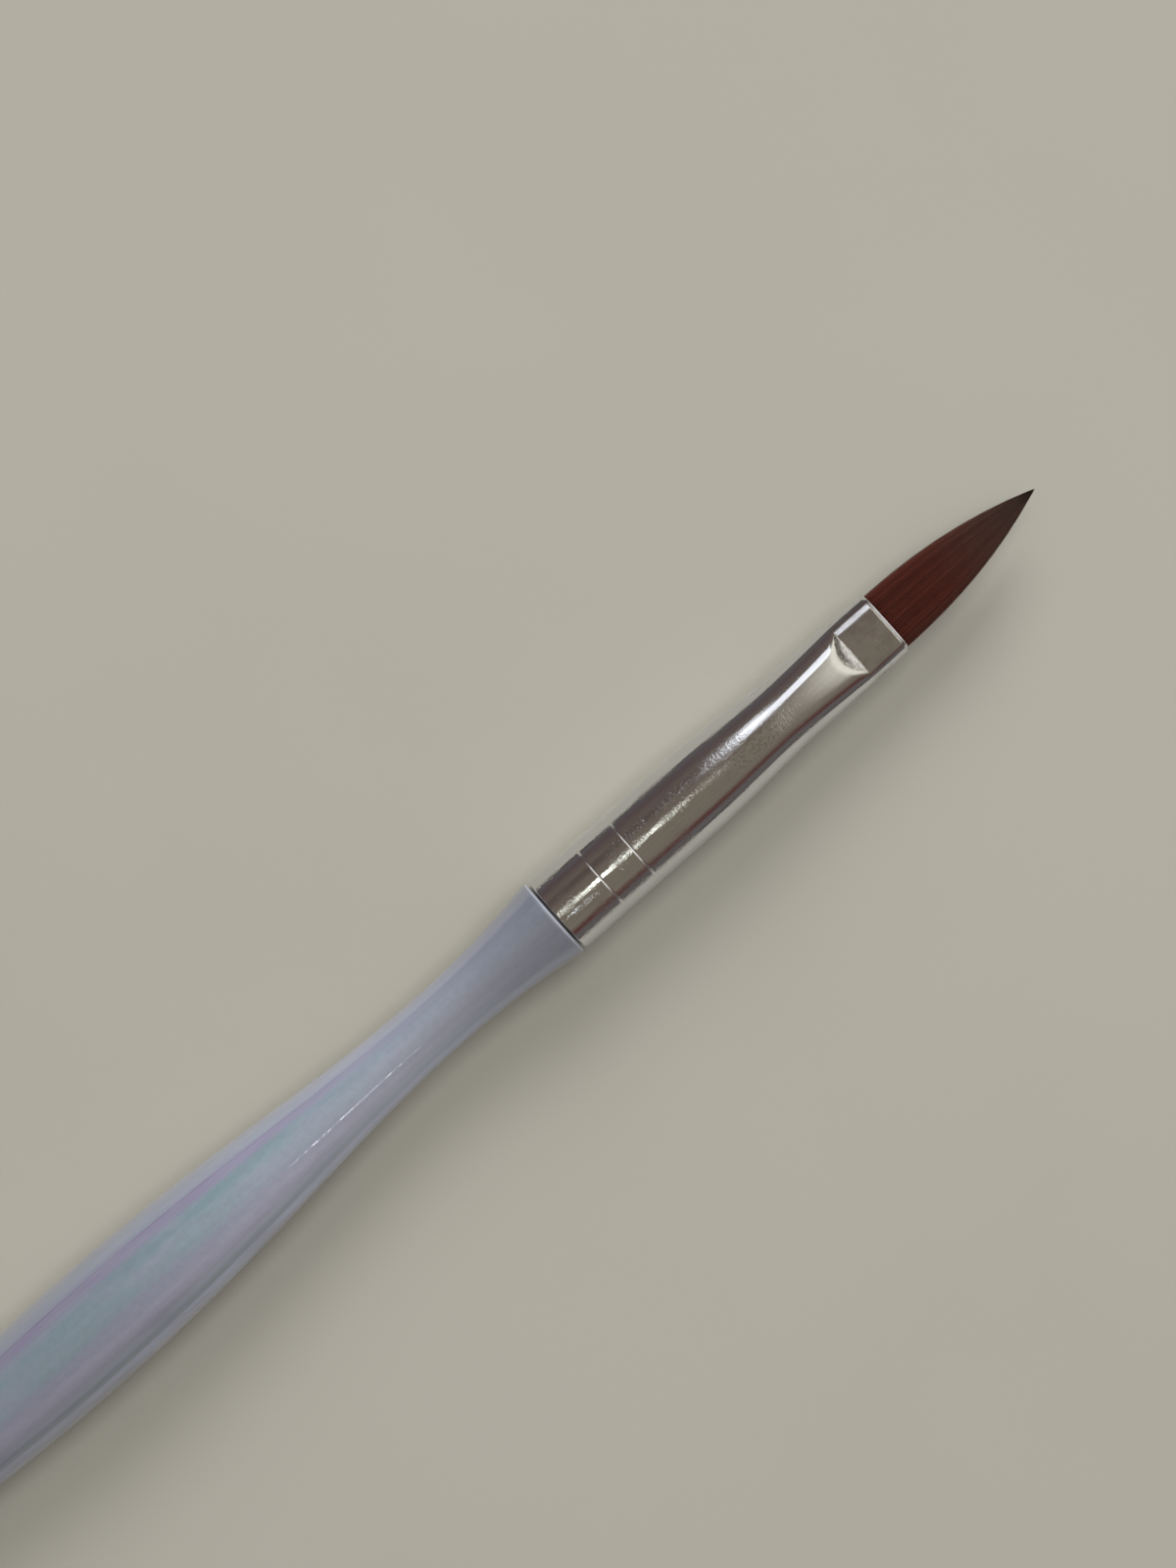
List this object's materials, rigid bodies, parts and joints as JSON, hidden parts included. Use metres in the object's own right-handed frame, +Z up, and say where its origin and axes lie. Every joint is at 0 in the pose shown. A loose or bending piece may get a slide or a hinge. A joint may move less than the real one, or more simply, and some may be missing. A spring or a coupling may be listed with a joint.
{
  "type": "fine detail brush",
  "caption": "Slim detail brush with a leaf-pointed hair tuft, a bright ferrule pressed flat at its mouth and a turned pearl handle with a waist, a belly and a slender tail.",
  "frame": {"origin": "on the surface the brush lies on, under the middle of its length and its axis", "axes": "+X along the brush towards the hair's tip, +Y across it, +Z up, square to the ferrule's pressed flats"},
  "size_m": [0.1754, 0.0096, 0.0096],
  "materials": {
    "pearl_handle": "pearl lavender-grey with teal and mauve lights, under a clear gloss coat",
    "nickel_plate": "bright nickel plate with fine handling marks",
    "red_brown_hair": "fine dark red-brown hair with a soft lengthwise sheen",
    "tie_thread": "undyed waxed thread",
    "set_resin": "set amber resin",
    "handle_glue": "set clear glue"
  },
  "bodies": {
    "root": {"handle": "pearl_handle", "ferrule": "nickel_plate", "hair_tuft": "red_brown_hair", "tie_thread": "tie_thread", "root_resin": "set_resin", "handle_glue": "handle_glue"}
  },
  "joints": []
}
